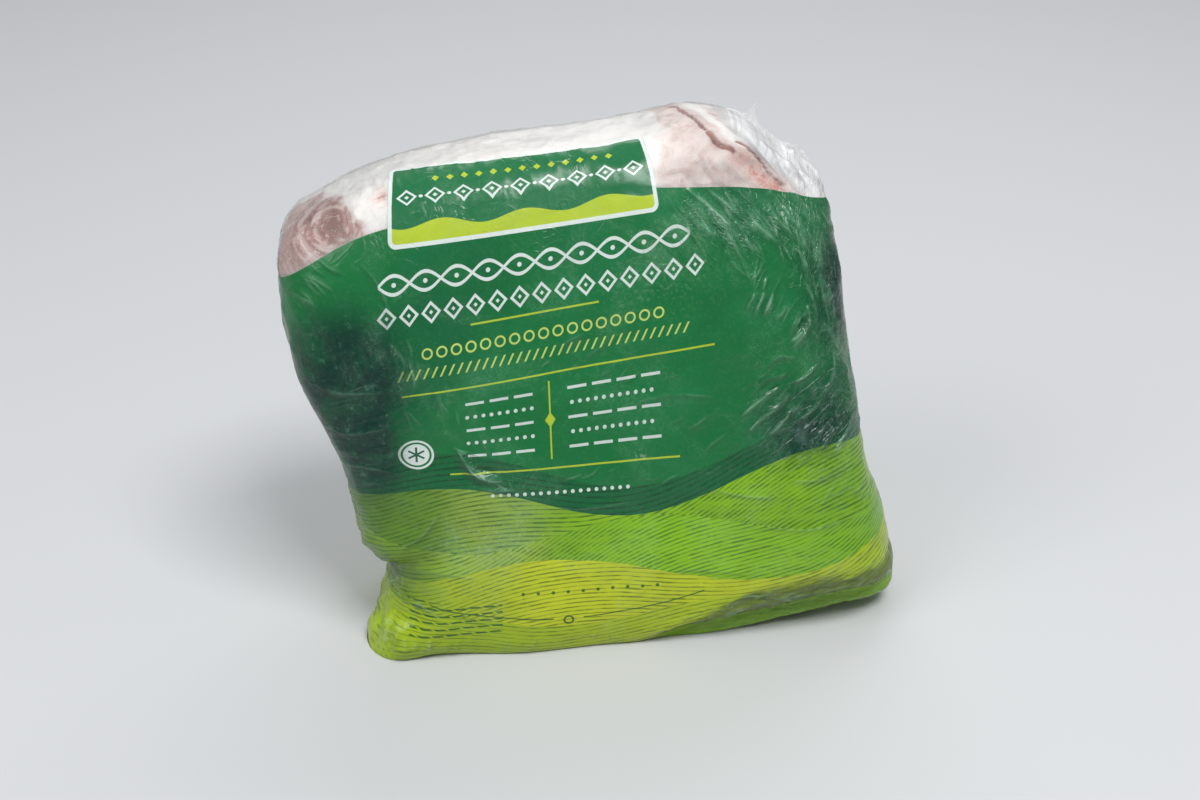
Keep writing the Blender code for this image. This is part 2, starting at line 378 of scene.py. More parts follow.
REAR_HAIR_COMBS = (
    ((-80.0, 142.0), (80.0, 150.0), (6.0, -18.0), 20, 0.45),
    ((-86.0, 112.0), (-78.0, 40.0), (18.0, 4.0), 14, 0.45),
    ((94.0, 120.0), (90.0, 40.0), (-18.0, -3.0), 14, 0.45),
    ((-60.0, 60.0), (60.0, 84.0), (10.0, 8.0), 9, 0.30),
)
LINE_LAYERS = 3


def creases(points, facing):
    """Relief of the pulled creases, over the face and over the back, and layers with the signed distance and strength
    of the nearest crease, from which the material paints a thin highlight on each crest and a shade beside it."""
    x, z = points[:, 0], points[:, 2]
    total = np.zeros(len(points))
    near = np.full((LINE_LAYERS, len(points)), 9.0)
    signs = np.full((LINE_LAYERS, len(points)), 9.0)
    power = np.zeros((LINE_LAYERS, len(points)))
    for side, rows, combs, hairs in ((facing, CREASES, COMBS, HAIR_COMBS), (-facing, (), REAR_COMBS, REAR_HAIR_COMBS)):
        share = ease(side, 0.02, 0.35)
        seen = share > 0
        work = [(rounded(line), width, height, 0.85 * height) for line, width, height in rows]
        for number, (first, last, run, count, width, height) in enumerate(combs):
            picks = np.random.default_rng(90 + number)
            for line in comb_lines(first, last, run, count, 10 + number):
                tall = height * picks.uniform(0.45, 1.3)
                work.append((rounded(line), width, tall, 0.75 * tall))
        for number, (first, last, run, count, height) in enumerate(hairs):
            picks = np.random.default_rng(400 + number)
            for line in comb_lines(first, last, run, count, 300 + number):
                work.append((rounded(line), 0.8, 0.0, height * picks.uniform(0.25, 1.35)))
        for number, (line, width, tall, strong) in enumerate(work):
            corners = np.array(line)
            (x0, z0), (x1, z1) = corners.min(axis=0) - 6.5, corners.max(axis=0) + 6.5
            spot = np.flatnonzero(seen & (x > x0) & (x < x1) & (z > z0) & (z < z1))
            if not len(spot):
                continue
            signed, best, taper = line_frame(x[spot], z[spot], line)
            if tall:
                ridge = np.exp(-(best / width) ** 2)
                trough = 0.45 * np.exp(-((signed + 1.9 * width) / (1.1 * width)) ** 2) * (best < 5 * width)
                total[spot] += share[spot] * taper * tall * (ridge - trough)
            layer = number % LINE_LAYERS
            closer = best < near[layer, spot]
            taken = spot[closer]
            near[layer, taken] = best[closer]
            signs[layer, taken] = signed[closer]
            power[layer, taken] = (share[spot] * taper * strong * np.exp(-(best / 1.7) ** 2))[closer]
    layers = {}
    for layer in range(LINE_LAYERS):
        layers["line_d%d" % layer] = signs[layer]
        layers["line_a%d" % layer] = power[layer]
    return total, layers


def blob(points, middle, size, power=2.0):
    d = (((points - np.array(middle)) / np.array(size)) ** 2).sum(axis=1) ** 0.5
    return np.exp(-d ** power)


NECK = np.array((-70.0, 34.0, 21.0))        # the waist above the knuckle of the shank
GATHER = np.array((82.0, 50.0, 152.0))      # where the film is gathered, upper right


def tuck_height(x):
    """How far the crumpled strip reaches above the fold at the lower right."""
    return 7.4 * ease(x, 28, 62) - 1.6 * ease(x, 78, 98)


def print_edge(x):
    """Height of the printed field's upper edge."""
    return (152.5 - 0.0014 * np.clip(25 - x, 0, None) ** 2 - 0.0029 * np.clip(x - 25, 0, None) ** 2
            - 0.006 * np.clip(-57 - x, 0, None) ** 2)


def soft_relief(points):
    """Slow swells shared by the film and the meat behind it."""
    return (0.55 * rough_noise(points, 34.0, 3, 2) + 0.28 * rough_noise(points, 13.0, 7, 2)
            + 1.9 * blob(points, (59, 66, 163), (12, 15, 9)))


def knob_shift(points):
    """Sideways shift that draws in the waist above the knuckle and rounds the knuckle out."""
    out = 2.8 * blob(points, (-71, 14, 0), (13, 15, 8)) - 5.0 * blob(points, (-71, 40, 5), (14, 14.5, 10))
    out = out - 1.6 * blob(points, (-71, 30, 17), (11, 24, 6)) + 3.2 * blob(points, (-75, 38, 32), (10, 26, 9))
    out = out + 4.0 * blob(points, (-80, 34, 71), (15, 42, 17)) + 2.2 * blob(points, (-86, 34, 95), (14, 42, 13))
    out = out + 1.0 * blob(points, (-64, 2, 7), (7, 8, 6)) - 1.2 * blob(points, (-55, 4, 7), (3.5, 9, 8))
    return out[:, None] * np.array((-0.83, -0.55, 0.0))


def across_gather(points):
    """Distance in mm beyond the second seam of the meat, towards the gathered corner of the film."""
    x, y, z = points.T
    return 0.66 * (x - 56.0) + 0.752 * (z - 161.5) + 0.30 * np.clip(y - 48.0, 0, 30)


def film_relief(points, normals):
    """Outward height of the film over the form, in mm, and the share of it that is a sharp crest."""
    x, y, z = points.T
    facing = -normals[:, 1]
    low = soft_relief(points)
    sharp, lines = creases(points, facing)
    # fine crinkles, everywhere but strongest along the right flank, the sides and the top
    around = 0.35 + 0.65 * ease(1 - np.abs(facing), 0.1, 0.7)
    crinkle = ridges(noise(x / 7.5, y / 7.5, z / 15.0, 21) + 0.35 * noise(x / 3, y / 3, z / 5, 22))
    crinkle2 = ridges(noise((x + y) / 12.0, y / 9, z / 5.0, 31) + 0.3 * noise(x / 4, y / 4, z / 3, 32))
    sharp = sharp + around * (0.34 * crinkle + 0.26 * crinkle2 - 0.12)
    # pleats fanning out from the neck of the shank
    off = points - NECK
    radius = np.linalg.norm(off, axis=1)
    turn = np.arctan2(off[:, 2], off[:, 0] - 0.6 * off[:, 1])
    fan = np.cos(turn * 17 + 2.2 * noise(x / 16, y / 16, z / 16, 41)) * ease(radius, 2.0, 9.0) * np.exp(-(radius / 26) ** 2)
    sharp = sharp + 0.75 * fan * np.where(fan > 0, 1.0, 0.6)
    # lumps of ice and fat under the film along the lower left
    icy = blob(points, (-70, 30, 30), (12, 40, 26))
    low = low + icy * 0.9 * np.abs(rough_noise(points, 6.5, 51, 2))
    low = low + blob(points, (-66, 12, 6), (14, 16, 13)) * (3.4 * np.abs(rough_noise(points, 6.0, 55, 2)) - 0.85)
    # bunched film at the upper right
    bunch = blob(points, GATHER, (24, 30, 18))
    across = across_gather(points)
    pleat = np.cos(across * (2 * np.pi / 4.6) + 2.6 * noise(x / 13, y / 13, z / 13, 61))
    sharp = sharp * (1 - 0.8 * bunch) + bunch * (0.85 * pleat + 0.60 * ridges(noise(x / 8, y / 9, z / 8, 62)))
    # clear film above the print follows the meat with short wrinkles, and never sinks into it
    clear = ease(z - print_edge(x), -1.0, 2.0)
    sharp = sharp + clear * (0.20 * ridges(noise(x / 9, y / 4.5, z / 6, 71)) + 0.12 * ridges(noise(x / 4, y / 10, z / 6, 72)))
    sharp = sharp + ease(z - print_edge(x), -4.5, -1.8) * (np.maximum(sharp, -0.10) - sharp)
    low = low + 1.5 * blob(points, (79, 65, 151), (5, 10, 5))
    # crisp line along the fold at the lower right
    fold = fold_line(x) - z
    along = ease(x, FOLD_X0 + 4, FOLD_X1) * ease(facing, 0.0, 0.3)
    sharp = sharp + along * (0.3 * np.exp(-((fold + 1.2) / 1.3) ** 2) - 0.6 * np.exp(-((fold - 0.9) / 1.2) ** 2))
    sharp = sharp - along * 0.55 * np.exp(-((fold + tuck_height(x) - 0.6) / 1.1) ** 2)
    sharp = sharp + along * 0.45 * ease(fold, -8, -5) * ridges(noise(x / 7.5, y / 8, (z - 0.25 * x) / 1.9, 81))
    height = low + sharp
    # lies flat on the foot
    grounded = ease(z, 0.2, 5.0)
    return height * grounded, sharp * grounded, lines


# ------------------------------------------------------------------ nodes
def colour(red, green, blue):
    """An sRGB colour, 0 to 255, as linear values."""
    def linear(v):
        v = v / 255.0
        return v / 12.92 if v <= 0.04045 else ((v + 0.055) / 1.055) ** 2.4
    return (linear(red), linear(green), linear(blue), 1.0)


class Num:
    """A number in a material's nodes, with ordinary arithmetic."""

    def __init__(self, tree, socket):
        self.tree, self.socket = tree, socket

    def __add__(self, other):
        return calc("ADD", self, other)

    __radd__ = __add__

    def __sub__(self, other):
        return calc("SUBTRACT", self, other)

    def __rsub__(self, other):
        return calc("SUBTRACT", other, self)

    def __mul__(self, other):
        return calc("MULTIPLY", self, other)

    __rmul__ = __mul__

    def __truediv__(self, other):
        return calc("DIVIDE", self, other)

    def __abs__(self):
        return calc("ABSOLUTE", self)


def calc(operation, *values, clamp=False):
    tree = next(v.tree for v in values if isinstance(v, Num))
    node = tree.nodes.new("ShaderNodeMath")
    node.operation = operation
    node.use_clamp = clamp
    for index, value in enumerate(values):
        if isinstance(value, Num):
            tree.links.new(value.socket, node.inputs[index])
        else:
            node.inputs[index].default_value = value
    return Num(tree, node.outputs[0])


def least(*values):
    first = values[0]
    for value in values[1:]:
        first = calc("MINIMUM", first, value)
    return first


def most(*values):
    first = values[0]
    for value in values[1:]:
        first = calc("MAXIMUM", first, value)
    return first


def inside(value, soft=0.14):
    """1 where value is over 0, with a narrow edge."""
    return calc("MULTIPLY_ADD", value, 1.0 / soft, 0.5, clamp=True)


def within(value, half, soft=0.14):
    return inside(half - abs(value), soft)


def between(value, low, high, soft=0.14):
    return within(value - (low + high) / 2, (high - low) / 2, soft)


def repeat(value, pitch):
    """Distance from the nearest of a row of stations, with its sign."""
    return calc("FLOORED_MODULO", value + pitch / 2, pitch) - pitch / 2


def slide(value, low, high):
    node = value.tree.nodes.new("ShaderNodeMapRange")
    node.interpolation_type = "SMOOTHSTEP"
    node.inputs["From Min"].default_value = low
    node.inputs["From Max"].default_value = high
    value.tree.links.new(value.socket, node.inputs["Value"])
    return Num(value.tree, node.outputs["Result"])


def hypot(a, b):
    return calc("SQRT", a * a + b * b)


def attribute(tree, name):
    node = tree.nodes.new("ShaderNodeAttribute")
    node.attribute_type = "GEOMETRY"
    node.attribute_name = name
    return Num(tree, node.outputs["Fac"])


def vector(tree, a, b, c=0.0):
    node = tree.nodes.new("ShaderNodeCombineXYZ")
    for index, value in enumerate((a, b, c)):
        if isinstance(value, Num):
            tree.links.new(value.socket, node.inputs[index])
        else:
            node.inputs[index].default_value = value
    return node.outputs[0]


def grain(tree, place, scale, detail=2.0, rough=0.5, distort=0.0):
    node = tree.nodes.new("ShaderNodeTexNoise")
    node.inputs["Scale"].default_value = scale
    node.inputs["Detail"].default_value = detail
    node.inputs["Roughness"].default_value = rough
    node.inputs["Distortion"].default_value = distort
    tree.links.new(place, node.inputs["Vector"])
    return Num(tree, node.outputs["Fac"])


def cells(tree, place, scale, feature="DISTANCE_TO_EDGE"):
    node = tree.nodes.new("ShaderNodeTexVoronoi")
    node.feature = feature
    node.inputs["Scale"].default_value = scale
    tree.links.new(place, node.inputs["Vector"])
    return Num(tree, node.outputs["Distance"])


def paint(tree, under, mask, over):
    """over laid on under where mask is 1. Colours are sockets or plain values."""
    node = tree.nodes.new("ShaderNodeMix")
    node.data_type = "RGBA"
    factor, a, b = node.inputs[0], node.inputs[6], node.inputs[7]
    if isinstance(mask, Num):
        tree.links.new(mask.socket, factor)
    else:
        factor.default_value = mask
    for socket, value in ((a, under), (b, over)):
        if isinstance(value, tuple):
            socket.default_value = value
        else:
            tree.links.new(value, socket)
    return node.outputs[2]


def crest_of(value, sharp=2.2):
    """Thin crests where a noise value crosses its middle."""
    return calc("POWER", calc("SUBTRACT", 1.0, abs(value - 0.5) * (2 * sharp), clamp=True), 2.0)


# ------------------------------------------------------------------ print
GREEN = colour(21, 109, 55)
GREEN_DEEP = colour(24, 70, 50)
GREEN_PANEL = colour(30, 108, 64)
WHITE_INK = colour(216, 225, 220)
LIME_INK = colour(178, 198, 54)
PALE_LIME = colour(196, 214, 112)


def print_colour(tree, u, v, t, front, place):
    """The print in its own coordinates, u across and v up in mm, with t going on over the top edge: a green field
    over rolling bands, with a bordered panel, rows of plain ornament, thin rules and a round badge. Returns its
    colour and the panel's distance inwards."""
    # rows follow the pull of the film: sloped above, level below
    slope = 0.128 * slide(v, 55.0, 104.0)
    w = v - slope * (u + 10.0)
    slope = 0.128 * slide(w, 55.0, 104.0)
    w = v - slope * (u + 10.0)

    base = grain(tree, place, 38.0, 4.0, 0.62)
    cloud = grain(tree, place, 14.0, 3.0, 0.55)
    ink = paint(tree, GREEN, slide(base, 0.42, 0.78) * 0.32, colour(38, 130, 88))
    ink = paint(tree, ink, slide(cloud, 0.46, 0.66) * 0.50, colour(12, 80, 54))

    # rolling bands at the foot
    crest1 = 57.0 + 6.0 * calc("COSINE", (u + 42.0) * (2 * math.pi / 118.0)) + 5.0 * slide(u, 20.0, 96.0)
    crest2 = 45.5 + 5.0 * calc("COSINE", (u - 22.0) * (2 * math.pi / 128.0))
    crest3 = 31.0 + 6.5 * calc("COSINE", (u + 12.0) * (2 * math.pi / 150.0))
    crest4 = 15.5 + 3.5 * calc("COSINE", (u - 52.0) * (2 * math.pi / 110.0))
    ragged = grain(tree, vector(tree, u * 0.05, v * 0.35, 3.0), 1.0, 2.0)
    thick = 0.14 + 0.22 * slide(ragged, 0.35, 0.65)

    broken = 0.45 + 0.55 * slide(grain(tree, vector(tree, u * 0.16, v * 0.5, 7.0), 1.0, 2.0), 0.40, 0.56)

    def hatch(crest, pitch, wide, lean=0.0):
        """Thin engraved strokes below a crest, at a slant to it."""
        return inside(wide * thick * 1.5 - abs(repeat((crest - v) + lean * u, pitch)), 0.20) * broken

    shade = inside(crest1 + 9.0 + 3.0 * slide(u, 60.0, -80.0) - v, 0.3)
    ink = paint(tree, ink, shade * 0.50, colour(18, 80, 48))
    ink = paint(tree, ink, shade * hatch(crest1 + 9.0, 1.9, 0.8, 0.10) * 0.65, colour(14, 58, 36))
    tone = slide(grain(tree, place, 22.0, 3.0, 0.6), 0.35, 0.68)
    band1 = paint(tree, colour(96, 134, 34), slide(u, -52.0, 18.0), colour(138, 188, 22))
    band1 = paint(tree, band1, tone * 0.45, colour(104, 158, 26))
    band1 = paint(tree, band1, slide(abs(u + 28.0), 26.0, 6.0) * 0.55, colour(158, 178, 84))
    band1 = paint(tree, band1, hatch(crest1, 1.5, 0.72, 0.28) * 0.75, colour(48, 94, 22))
    ink = paint(tree, ink, inside(crest1 - v), band1)
    band2 = paint(tree, colour(112, 146, 30), slide(u, -58.0, 30.0), colour(132, 188, 22))
    band2 = paint(tree, band2, slide(abs(u + 30.0), 26.0, 6.0) * 0.75, colour(166, 180, 86))
    band2 = paint(tree, band2, slide(u, 66.0, 100.0) * 0.6, colour(104, 166, 24))
    band2 = paint(tree, band2, tone * 0.40, colour(152, 200, 34))
    band2 = paint(tree, band2, hatch(crest2, 1.45, 0.66, 0.42) * 0.75, colour(54, 104, 20))
    ink = paint(tree, ink, inside(crest2 - v), band2)
    band3 = paint(tree, colour(126, 164, 30), slide(u, -70.0, -8.0), colour(196, 208, 34))
    band3 = paint(tree, band3, slide(u, 60.0, 104.0) * 0.6, colour(150, 190, 30))
    band3 = paint(tree, band3, tone * 0.30, colour(206, 218, 48))
    band3 = paint(tree, band3, slide(tone, 0.2, 0.9) * 0.25, colour(150, 172, 30))
    band3 = paint(tree, band3, hatch(crest3, 1.55, 0.62, 0.13) * 0.82, colour(92, 118, 18))
    ink = paint(tree, ink, inside(crest3 - v), band3)
    band4 = paint(tree, colour(162, 188, 28), slide(u, -40.0, 30.0), colour(186, 204, 32))
    band4 = paint(tree, band4, tone * 0.35, colour(150, 182, 26))
    knob = slide(u, -60.0, -66.0)
    band4 = paint(tree, band4, hatch(crest4, 1.7, 0.58, 0.05) * (1.0 - knob) * 0.78, colour(84, 116, 18))
    dots = inside(0.36 - hypot(repeat(u + 0.5 * v, 1.9), repeat(v - 0.3 * u, 1.7)))
    band4 = paint(tree, band4, slide(tone, 0.3, 0.8) * knob * 0.45, colour(196, 200, 60))
    band4 = paint(tree, band4, dots * knob * 0.55, colour(92, 116, 20))
    ink = paint(tree, ink, inside(crest4 - v), band4)
    # film tucked under along the lifted lower right edge: a crumpled strip painted dull and dark as shade under the
    # edge, then a green roll
    tuck, roll = attribute(tree, "tuck"), attribute(tree, "roll")
    crumple = slide(grain(tree, vector(tree, u * 0.16, (v - 0.25 * u) * 0.8, 2.0), 1.0, 3.0, 0.65, 0.6), 0.36, 0.64)
    dull_and_shaded = paint(tree, colour(48, 66, 28), crumple, colour(112, 124, 62))
    ink = paint(tree, ink, calc("MULTIPLY", tuck, 0.72 + 0.36 * crumple, clamp=True), dull_and_shaded)
    ink = paint(tree, ink, roll * 0.80, paint(tree, colour(96, 150, 26), crumple, colour(122, 172, 34)))

    # short dark dashes low on the face
    dashes = within(repeat(v - 0.06 * u, 2.6), 0.36) * within(repeat(u + 1.7 * v, 5.3), 2.05) * between(v, 9.0, 23.0)
    dashes = dashes * between(u, -58.0, -27.0)
    middle_dots = inside(0.62 - hypot(repeat(u, 5.0), v - 25.5)) * between(u, -22.5, 27.5)
    sweep = within(v - (15.2 + 0.0032 * (u + 5.0) * (u + 5.0)), 0.24) * between(abs(u + 5.0), 5.0, 46.0)
    sweep = most(sweep, within(hypot(u + 5.0, v - 14.6) - 1.5, 0.35))
    ink = paint(tree, ink, most(dashes, middle_dots, sweep) * front * 0.85, colour(24, 84, 30))

    # panel
    in_low = t - (137.0 + 0.1034 * (u + 58.0))
    in_high = (170.2 + 0.0027 * (u + 28.0) * (u + 28.0)) - t
    in_left = u - (-57.7 + 0.05 * (t - 137.0))
    in_right = (28.5 - 0.11 * (t - 146.0)) - u
    rise = in_low * 30.0 / most(in_low + in_high, 1.0)
    corner = 2.6
    ex = most(corner - least(in_left, in_right), 0.0)
    ey = most(corner - least(in_low, in_high), 0.0)
    panel = corner - hypot(ex, ey)
    inner = paint(tree, GREEN_PANEL, slide(base, 0.35, 0.8) * 0.35, colour(56, 124, 84))
    swag = 5.6 + 1.1 * calc("COSINE", (u + 14.0) * (2 * math.pi / 26.0))
    inner = paint(tree, inner, inside(swag - rise), LIME_INK)
    gem = abs(repeat(u + 15.0, 9.0)) / 3.3 + abs(rise - 13.8) / 3.5
    gems = most(inside(1.0 - gem, 0.06) * inside(gem - 0.70, 0.06), inside(0.24 - gem, 0.06))
    gems = most(gems, inside(0.65 - hypot(repeat(u + 10.5, 9.0), rise - 13.8)) * between(u, -48.0, 18.0))
    gems = gems * between(u, -54.6, 24.6)
    inner = paint(tree, inner, gems, WHITE_INK)
    beads = inside(1.0 - (abs(repeat(u + 14.0, 4.6)) / 1.2 + abs(rise - 22.0) / 1.5), 0.1) * between(u, -43.9, 15.9)
    inner = paint(tree, inner, beads, LIME_INK)
    inner = paint(tree, inner, inside(1.25 - panel), WHITE_INK)

    # white rows: a chain of crossed waves, then lozenges
    wave = abs(2.75 * calc("SINE", (u + 61.5) * (math.pi / 9.95)))
    chain = within(abs(w - 133.0) - wave, 0.54)
    chain = most(chain, inside(0.7 - hypot(repeat(u + 61.5 - 4.975, 9.95), w - 133.0))) * between(u, -61.5, 38.0)
    gem = abs(repeat(u + 10.0, 7.05)) / 3.15 + abs(w - 123.4) / 3.4
    lozenges = most(inside(1.0 - gem, 0.06) * inside(gem - 0.66, 0.06), inside(0.2 - gem, 0.06)) * between(u, -62.9, 42.9)
    stops = inside(0.62 - hypot(repeat(u, 2.6), w - 60.6)) * between(u, -29.9, 16.9)
    lines = within(repeat(w - 83.9, 9.0), 0.44) * between(w, 72.0, 95.0)
    left = within(repeat(u + 17.4, 7.8), 3.0) * between(u, -36.9, -13.5)
    right = within(repeat(u, 8.0), 3.1) * between(u, -4.0, 28.0)
    grains = inside(0.62 - hypot(repeat(u + 25.2, 2.6), repeat(w - 79.4, 9.0))) * between(w, 72.0, 95.0)
    grains = grains * most(between(u, -36.9, -13.5), between(u, -3.2, 25.4))
    white = most(chain, lozenges, stops, lines * most(left, right) * 0.9, grains * 0.9)

    # pale yellow rows and rules
    rings = within(hypot(repeat(u + 10.0, 4.65), w - 111.0) - 1.5, 0.29) * between(u, -49.5, 29.5)
    tilt = u + 10.0 - 0.55 * (w - 105.0)
    slants = within(repeat(tilt, 2.7), 0.32) * within(w - 105.0, 1.6) * between(tilt, -47.2, 47.2)
    rules = within(w - 117.6, 0.30) * between(u, -33.0, 8.0)
    rules = most(rules, within(w - 98.4, 0.28) * between(u, -56.0, 45.0))
    rules = most(rules, within(w - 68.6, 0.28) * between(u, -42.0, 33.0))
    rules = most(rules, within(u + 9.0, 0.26) * between(w, 71.5, 96.0))
    rules = most(rules, inside(1.0 - (abs(u + 9.0) / 1.7 + abs(w - 83.9) / 2.4), 0.08))

    ink = paint(tree, ink, most(rings, slants) * front * 0.90, PALE_LIME)
    ink = paint(tree, ink, rules * front * 0.92, LIME_INK)

    # round badge with a plain six-armed frost mark
    bx, by = u + 52.5, w - 76.0
    ring = hypot(bx, by)
    arms = least(abs(bx), abs(0.5 * bx + 0.866 * by), abs(0.5 * bx - 0.866 * by))
    mark = inside(0.36 - arms) * inside(2.9 - ring)
    badge = most(within(ring - 5.25, 0.38), inside(4.15 - ring))
    white = most(white, badge)
    ink = paint(tree, ink, inside(5.4 - ring) * front, GREEN)
    ink = paint(tree, ink, white * front * 0.94, WHITE_INK)
    ink = paint(tree, ink, mark * front, colour(30, 92, 62))

    ink = paint(tree, ink, inside(panel) * front, inner)
    return ink, panel


def film_height(tree, u, v, place):
    """Fine creases and grain of the film, 0 to about 1."""
    diagonal, upright, rising = (attribute(tree, name) for name in ("pull_down", "pull_side", "pull_up"))
    patch = slide(grain(tree, place, 45.0, 2.0, 0.5), 0.42, 0.60)
    slanted = crest_of(grain(tree, vector(tree, (u - v) * 0.045, (u + v) * 0.26, 1.0), 1.0, 1.5, 0.45), 7.0)
    standing = crest_of(grain(tree, vector(tree, u * 0.42, v * 0.07, 5.0), 1.0, 2.0, 0.5, 0.5), 6.0)
    climbing = crest_of(grain(tree, vector(tree, (u + 0.6 * v) * 0.06, (v - 0.6 * u) * 0.24, 9.0), 1.0, 1.5, 0.45), 7.0)
    general = crest_of(grain(tree, place, 80.0, 2.0, 0.5, 1.2), 9.0)
    fine = grain(tree, place, 420.0, 2.0, 0.5)
    pulled = slanted * diagonal + standing * upright + climbing * rising
    return 0.8 * pulled * (0.35 + 0.65 * patch) + 0.25 * general * patch + 0.06 * fine


def crease_edges(tree):
    """Painted highlight along each crease's crest and painted shade beside it, each 0 to about 1."""
    thin, shade = 0.0, 0.0
    for layer in range(LINE_LAYERS):
        d, a = attribute(tree, "line_d%d" % layer), attribute(tree, "line_a%d" % layer)
        thin = a * calc("EXPONENT", d * d * -8.0) + thin
        shade = a * calc("EXPONENT", (d + 0.9) * (d + 0.9) * -2.6) + shade
    return thin, shade


def film_material(name, clear):
    """The bag's film. Below the print's edge it is inked and hides the meat; above it is clear and a little milky."""
    material = bpy.data.materials.new(name)
    material.use_nodes = True
    tree = material.node_tree
    shader = tree.nodes.get("Principled BSDF")
    u, v, front = (attribute(tree, key) for key in ("print_u", "print_v", "print_face"))
    crest, frost, dark, frost_haze_and_sheen = (attribute(tree, key) for key in ("crest", "frost", "dark", "frost_haze_and_sheen"))
    place = tree.nodes.new("ShaderNodeTexCoord").outputs["Object"]

    ink, panel = print_colour(tree, u, v, attribute(tree, "print_t"), front, place)
    # darker where the film lies close on wet meat, with painted shade at the neck, down the sides that turn away and on
    # the back; paler flecks where air or frost is behind it
    mottle = grain(tree, place, 95.0, 3.0, 0.62)
    fleck = grain(tree, place, 330.0, 3.0, 0.68)
    island = grain(tree, place, 52.0, 3.0, 0.6)
    murk_and_shade = dark * (0.72 + 0.26 * slide(mottle, 0.64, 0.44) + 0.10 * slide(fleck, 0.60, 0.44))
    ink = paint(tree, ink, calc("MULTIPLY", murk_and_shade, 0.90, clamp=True), colour(6, 42, 38))
    ink = paint(tree, ink, calc("MULTIPLY", slide(fleck, 0.60, 0.72), dark * 0.22, clamp=True), colour(112, 150, 136))
    ink = paint(tree, ink, calc("MULTIPLY", slide(island, 0.60, 0.70), dark * 0.38, clamp=True), colour(92, 122, 112))
    # frost haze and painted sheen: pale green clouds and fine crackle laid over the print where the film catches light
    veil = grain(tree, place, 40.0, 4.0, 0.65, 0.8)
    ink = paint(tree, ink, slide(veil, 0.42, 0.72) * frost_haze_and_sheen * 0.42, colour(120, 168, 132))
    crackle = crest_of(grain(tree, place, 230.0, 2.0, 0.6, 2.2), 9.0) * slide(veil, 0.48, 0.62)
    ink = paint(tree, ink, calc("MULTIPLY", crackle, 0.22 + 0.8 * frost_haze_and_sheen, clamp=True) * 0.40, colour(140, 186, 150))
    speck = grain(tree, place, 760.0, 2.0, 0.7)
    ice = calc("MULTIPLY", slide(speck, 0.52, 0.66), frost, clamp=True)
    ink = paint(tree, ink, ice * 0.50, colour(184, 202, 192))
    thin, shade = crease_edges(tree)
    height = film_height(tree, u, v, place)
    # painted shade in the grooves and beside the creases, painted highlights on the crests, the crease lines and the
    # raised fine wrinkles
    ink = paint(tree, ink, slide(attribute(tree, "groove"), 0.15, 0.75) * 0.30, colour(12, 52, 34))
    ink = paint(tree, ink, calc("MULTIPLY", shade, 0.60, clamp=True), colour(10, 50, 32))
    calm = 1.0 - 0.45 * dark
    ink = paint(tree, ink, crest * calm * 0.12, colour(140, 190, 158))
    ink = paint(tree, ink, calc("MULTIPLY", thin * slide(mottle, 0.36, 0.64), 0.52 * calm, clamp=True), colour(164, 206, 180))
    ink = paint(tree, ink, calc("MULTIPLY", height - 0.45, 0.30 * calm, clamp=True), colour(140, 190, 158))
    rough = 0.20 + 0.10 * mottle + 0.28 * ice

    if clear:
        milk = attribute(tree, "milk")
        wisp = grain(tree, place, 70.0, 3.0, 0.55, 0.8)
        # milky film, made whiter on crests and crease lines as a painted highlight
        veiled = calc("ADD", milk * (0.86 + 0.25 * slide(wisp, 0.35, 0.70)), 0.22 * slide(crest, 0.2, 0.8) + 0.35 * thin, clamp=True)
        edge_on = tree.nodes.new("ShaderNodeLayerWeight")
        edge_on.inputs["Blend"].default_value = 0.35
        glance = Num(tree, edge_on.outputs["Fresnel"])
        alpha = most(veiled, 0.80 * glance)
        printed = most(inside(attribute(tree, "edge_v") - v), inside(panel) * front)
        sheet = paint(tree, colour(224, 225, 224), slide(wisp, 0.40, 0.70) * milk * 0.6, colour(202, 203, 204))
        # painted shade beside the creases, along fine folds and in the grooves of the milky sheet
        sheet = paint(tree, sheet, calc("MULTIPLY", shade, 0.9, clamp=True), colour(146, 149, 150))
        fold = crest_of(grain(tree, vector(tree, u * 0.10, v * 0.10, 4.0), 1.0, 3.0, 0.6, 1.2), 6.0)
        sheet = paint(tree, sheet, fold * milk * 0.50, colour(160, 163, 165))
        sheet = paint(tree, sheet, calc("MULTIPLY", attribute(tree, "groove"), 0.45, clamp=True), colour(160, 163, 166))
        whole = paint(tree, sheet, printed, ink)
        tree.links.new(whole, shader.inputs["Base Color"])
        tree.links.new(most(alpha, printed).socket, shader.inputs["Alpha"])
    else:
        tree.links.new(ink, shader.inputs["Base Color"])
    tree.links.new(rough.socket, shader.inputs["Roughness"])
    bump = tree.nodes.new("ShaderNodeBump")
    bump.inputs["Strength"].default_value = 0.75
    bump.inputs["Distance"].default_value = 0.0005
    tree.links.new((height + 0.85 * thin - 0.5 * shade).socket, bump.inputs["Height"])
    tree.links.new(bump.outputs["Normal"], shader.inputs["Normal"])
    shader.inputs["IOR"].default_value = 1.49
    shader.inputs["Specular IOR Level"].default_value = 0.38
    return material


